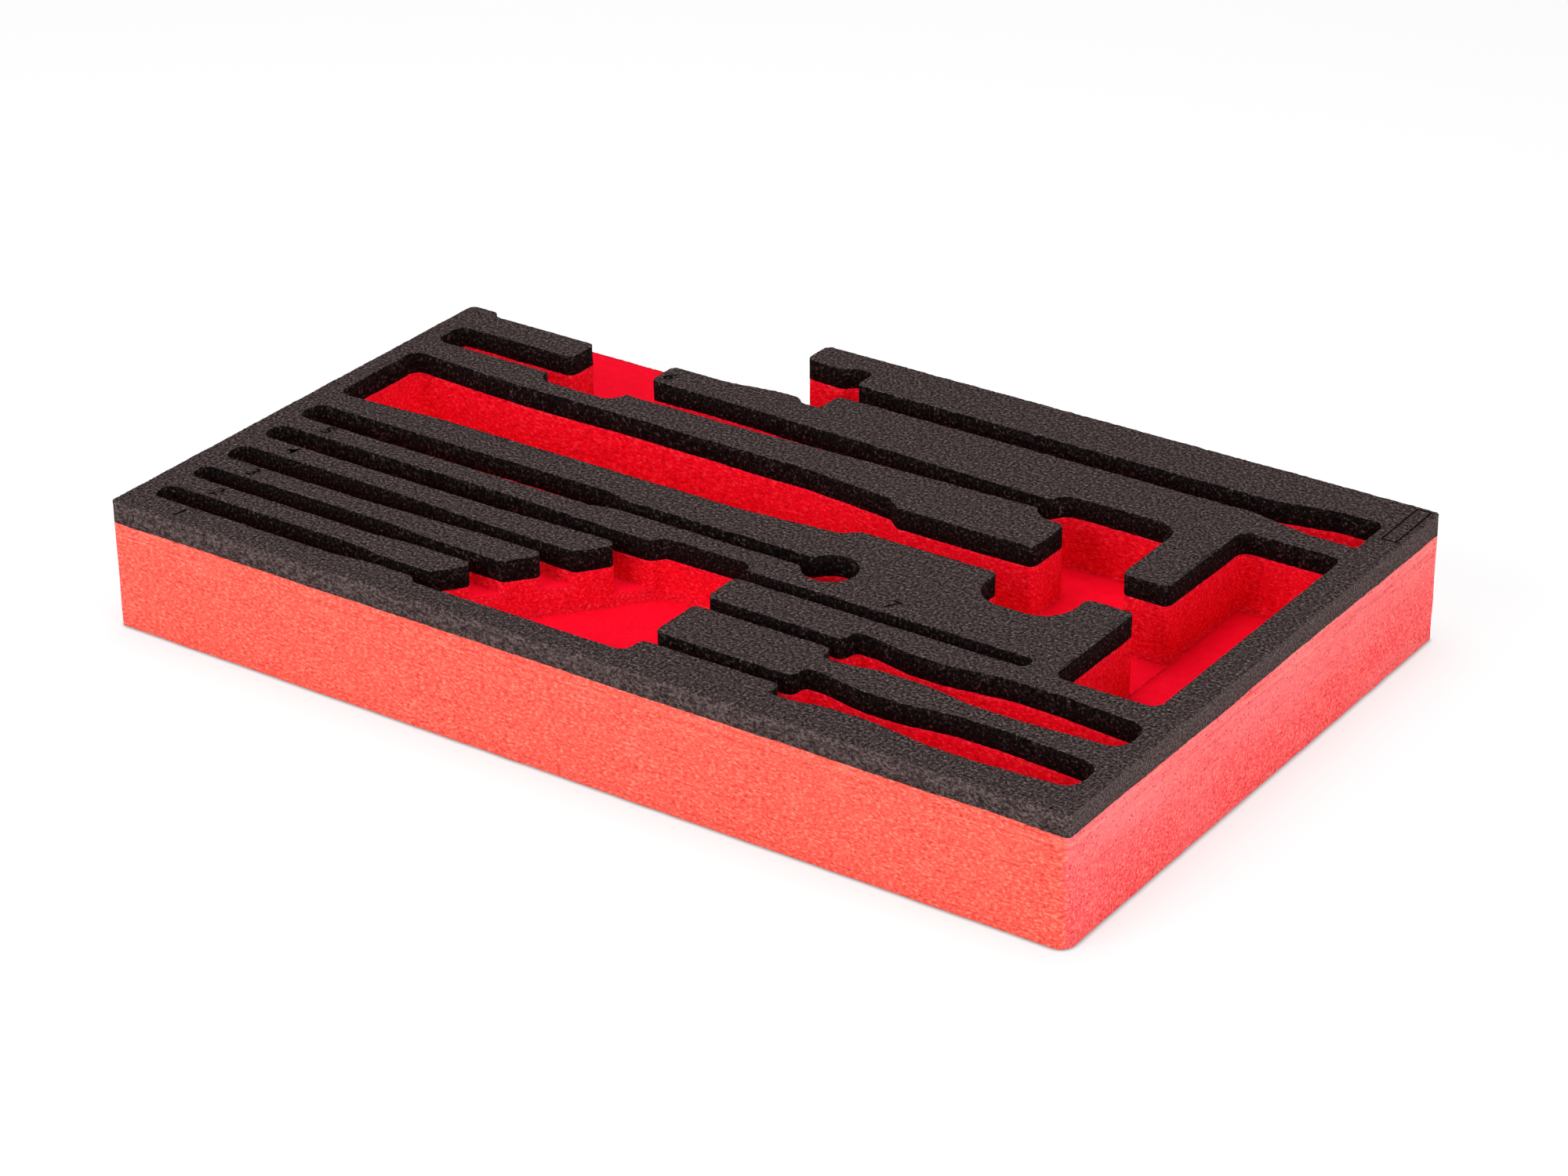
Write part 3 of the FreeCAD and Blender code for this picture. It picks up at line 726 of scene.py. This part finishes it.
def add_digits(edit, digits, x, y, numbers):
    """Add the digits as a solid that reaches from the air into the top layer."""
    curve = bpy.data.curves.new("digits", "FONT")
    curve.body = digits
    curve.size = numbers.height / DIGIT_SHARE
    curve.shear = DIGIT_SHEAR
    curve.offset = numbers.swelling
    curve.extrude = numbers.depth
    curve.resolution_u = 3
    writer = bpy.data.objects.new("digits", curve)
    bpy.context.scene.collection.objects.link(writer)
    graph = bpy.context.evaluated_depsgraph_get()
    mesh = bpy.data.meshes.new_from_object(writer.evaluated_get(graph))
    mesh.transform(Matrix.Translation(
        (TOP_LOW.x + x / 1000, TOP_LOW.y + y / 1000, TOP_HIGH.z)))
    edit.from_mesh(mesh)
    bpy.data.objects.remove(writer)
    bpy.data.curves.remove(curve)
    bpy.data.meshes.remove(mesh)


def add_empty_frame(edit, numbers):
    """Add the line of the empty frame as a solid of the same depth."""
    left, front, right, back = (value / 1000 for value in EMPTY_FRAME)
    line = numbers.frame_line
    rings = []
    for level in (-numbers.depth, numbers.depth):
        for inset in (0.0, line):
            corners = [(left + inset, front + inset), (right - inset, front + inset),
                       (right - inset, back - inset), (left + inset, back - inset)]
            height = TOP_HIGH.z + level
            rings.append([edit.verts.new((TOP_LOW.x + x, TOP_LOW.y + y, height))
                          for x, y in corners])
    low_outer, low_inner, high_outer, high_inner = rings
    for first, second in ((low_outer, low_inner), (low_inner, high_inner),
                          (high_inner, high_outer), (high_outer, low_outer)):
        for i in range(4):
            j = (i + 1) % 4
            edit.faces.new((first[i], first[j], second[j], second[i]))


def mark_cutter(numbers, material):
    """All the place numbers and the empty frame as one solid."""
    edit = bmesh.new()
    for digits, x, y in NUMBER_PLACES:
        add_digits(edit, digits, x, y, numbers)
    bmesh.ops.remove_doubles(edit, verts=edit.verts, dist=1e-6)
    bmesh.ops.dissolve_limit(edit, angle_limit=0.01, verts=edit.verts,
                             edges=edit.edges)
    add_empty_frame(edit, numbers)
    bmesh.ops.recalc_face_normals(edit, faces=edit.faces)
    for face in edit.faces:
        face.material_index = 0
    solid = bpy.data.meshes.new("mark_cutter")
    edit.to_mesh(solid)
    edit.free()
    solid.materials.append(material)
    return add_mesh_object("mark_cutter", solid)


class FOAM_OT_base_layer(bpy.types.Operator):
    """Cut the thick red base layer"""

    bl_idname = "foam.base_layer"
    bl_label = "Base layer"

    def execute(self, context):
        scene = context.scene
        piece = cut_layer("base_layer", red_foam(scene.foam_colours), BASE_LOW.z,
                          scene.foam_cut)
        return {"FINISHED"}


class FOAM_OT_top_layer(bpy.types.Operator):
    """Cut the dark top layer and engrave its place numbers and the empty frame"""

    bl_idname = "foam.top_layer"
    bl_label = "Top layer"

    def execute(self, context):
        scene = context.scene
        colours = scene.foam_colours
        scorch = scorched_foam(colours)
        cutter = mark_cutter(scene.foam_numbers, scorch)
        piece = cut_layer("top_layer", charcoal_foam(colours), TOP_HIGH.z,
                          scene.foam_cut, cutter, scorch)
        bpy.data.objects.remove(cutter)
        return {"FINISHED"}


def add_lamp(name, place, size, power):
    """A large lamp that faces the block."""
    data = bpy.data.lights.new(name, "AREA")
    data.shape = "RECTANGLE"
    data.size, data.size_y = size
    data.energy = power
    lamp = bpy.data.objects.new(name, data)
    lamp.location = place
    lamp.rotation_euler = (-Vector(place)).to_track_quat("-Z", "Y").to_euler()
    bpy.context.scene.collection.objects.link(lamp)


def mix_shaders(tree, factor, first, second):
    """Mix two shader nodes by a socket; returns the node."""
    node = tree.nodes.new("ShaderNodeMixShader")
    tree.links.new(factor, node.inputs[0])
    link(tree, first, 0, node, 1)
    link(tree, second, 0, node, 2)
    return node


def camera_ray(tree):
    return tree.nodes.new("ShaderNodeLightPath").outputs["Is Camera Ray"]


def floor_material():
    """Pale matt floor; to the camera it is white with a faint shadow and a painted grey
    contact shadow along the block's foot.
    """
    material = bpy.data.materials.new("pale_floor")
    material.use_nodes = True
    tree = material.node_tree
    tree.nodes.clear()
    output = tree.nodes.new("ShaderNodeOutputMaterial")
    matt, faint = (
        add_node(tree, "ShaderNodeBsdfDiffuse", {"Color": (value, value, value, 1.0)})
        for value in (FLOOR_WHITE, FLOOR_SHADOW))
    white = add_node(tree, "ShaderNodeEmission", {"Strength": FLOOR_GLOW})
    both = tree.nodes.new("ShaderNodeAddShader")
    link(tree, faint, 0, both, 0)
    link(tree, white, 0, both, 1)
    # A painted contact shadow: a thin grey line where the block meets the floor
    contact_occlusion = add_node(tree, "ShaderNodeAmbientOcclusion", {"Distance": CONTACT_WIDTH},
                     samples=8)
    painted_contact_shadow = add_node(tree, "ShaderNodeEmission", {"Strength": CONTACT_SHADOW_GREY})
    open_share = ramp(tree, contact_occlusion.outputs["AO"], *CONTACT_RANGE)
    seen = mix_shaders(tree, open_share, painted_contact_shadow, both)
    link(tree, mix_shaders(tree, camera_ray(tree), matt, seen), 0, output, "Surface")
    return material


def light_world(strength):
    """Even light from all round, behind a white background."""
    world = bpy.data.worlds.new("studio")
    bpy.context.scene.world = world
    world.use_nodes = True
    tree = world.node_tree
    tree.nodes.clear()
    output = tree.nodes.new("ShaderNodeOutputWorld")
    light, white = (
        add_node(tree, "ShaderNodeBackground",
                 {"Color": (1.0, 1.0, 1.0, 1.0), "Strength": power})
        for power in (strength, 1.0))
    link(tree, mix_shaders(tree, camera_ray(tree), light, white), 0, output, "Surface")


class FOAM_OT_stage(bpy.types.Operator):
    """Set up the floor, the lamps and the camera"""

    bl_idname = "foam.stage"
    bl_label = "Stage"

    def execute(self, context):
        stage = context.scene.foam_stage
        mesh = bpy.data.meshes.new("floor")
        corners = ((-1, -1), (1, -1), (1, 1), (-1, 1))
        mesh.from_pydata([(x * FLOOR_REACH, y * FLOOR_REACH, 0) for x, y in corners],
                         [], [(0, 1, 2, 3)])
        mesh.materials.append(floor_material())
        floor = add_mesh_object("floor", mesh)
        for name, place, size, power in LAMPS:
            add_lamp(name, place, size, getattr(stage, power))
        light_world(stage.world_light)
        data = bpy.data.cameras.new("camera")
        data.sensor_width = 36.0
        data.lens = stage.camera_lens
        camera = bpy.data.objects.new("camera", data)
        turn = Vector(stage.camera_aim).to_track_quat("-Z", "Y").to_matrix()
        roll = Matrix.Rotation(stage.camera_roll, 3, "Z")
        stand = Matrix.Translation(stage.camera_place)
        camera.matrix_world = stand @ (turn @ roll).to_4x4()
        context.scene.collection.objects.link(camera)
        context.scene.camera = camera
        context.scene.view_settings.view_transform = "Standard"
        return {"FINISHED"}


class FOAM_PT_panel(bpy.types.Panel):
    """Sizes, colours and steps of the foam insert"""

    bl_label = "Foam insert"
    bl_idname = "FOAM_PT_panel"
    bl_space_type = "VIEW_3D"
    bl_region_type = "UI"
    bl_category = "Foam insert"

    def draw(self, context):
        scene = context.scene
        for group in (scene.foam_cut, scene.foam_colours, scene.foam_numbers,
                      scene.foam_stage):
            box = self.layout.box()
            for name in group.bl_rna.properties.keys():
                if name not in {"rna_type", "name"}:
                    box.prop(group, name)
        for step in (FOAM_OT_base_layer, FOAM_OT_top_layer, FOAM_OT_stage):
            self.layout.operator(step.bl_idname)


CLASSES = (FoamCut, FoamColours, FoamNumbers, FoamStage, FOAM_OT_base_layer,
           FOAM_OT_top_layer, FOAM_OT_stage, FOAM_PT_panel)


def register():
    for item in CLASSES:
        bpy.utils.register_class(item)
    bpy.types.Scene.foam_cut = PointerProperty(type=FoamCut)
    bpy.types.Scene.foam_colours = PointerProperty(type=FoamColours)
    bpy.types.Scene.foam_numbers = PointerProperty(type=FoamNumbers)
    bpy.types.Scene.foam_stage = PointerProperty(type=FoamStage)


def unregister():
    del bpy.types.Scene.foam_stage
    del bpy.types.Scene.foam_numbers
    del bpy.types.Scene.foam_colours
    del bpy.types.Scene.foam_cut
    for item in reversed(CLASSES):
        bpy.utils.unregister_class(item)


def main():
    register()
    bpy.ops.foam.base_layer()
    bpy.ops.foam.top_layer()
    bpy.ops.foam.stage()


if __name__ == "__main__":
    main()
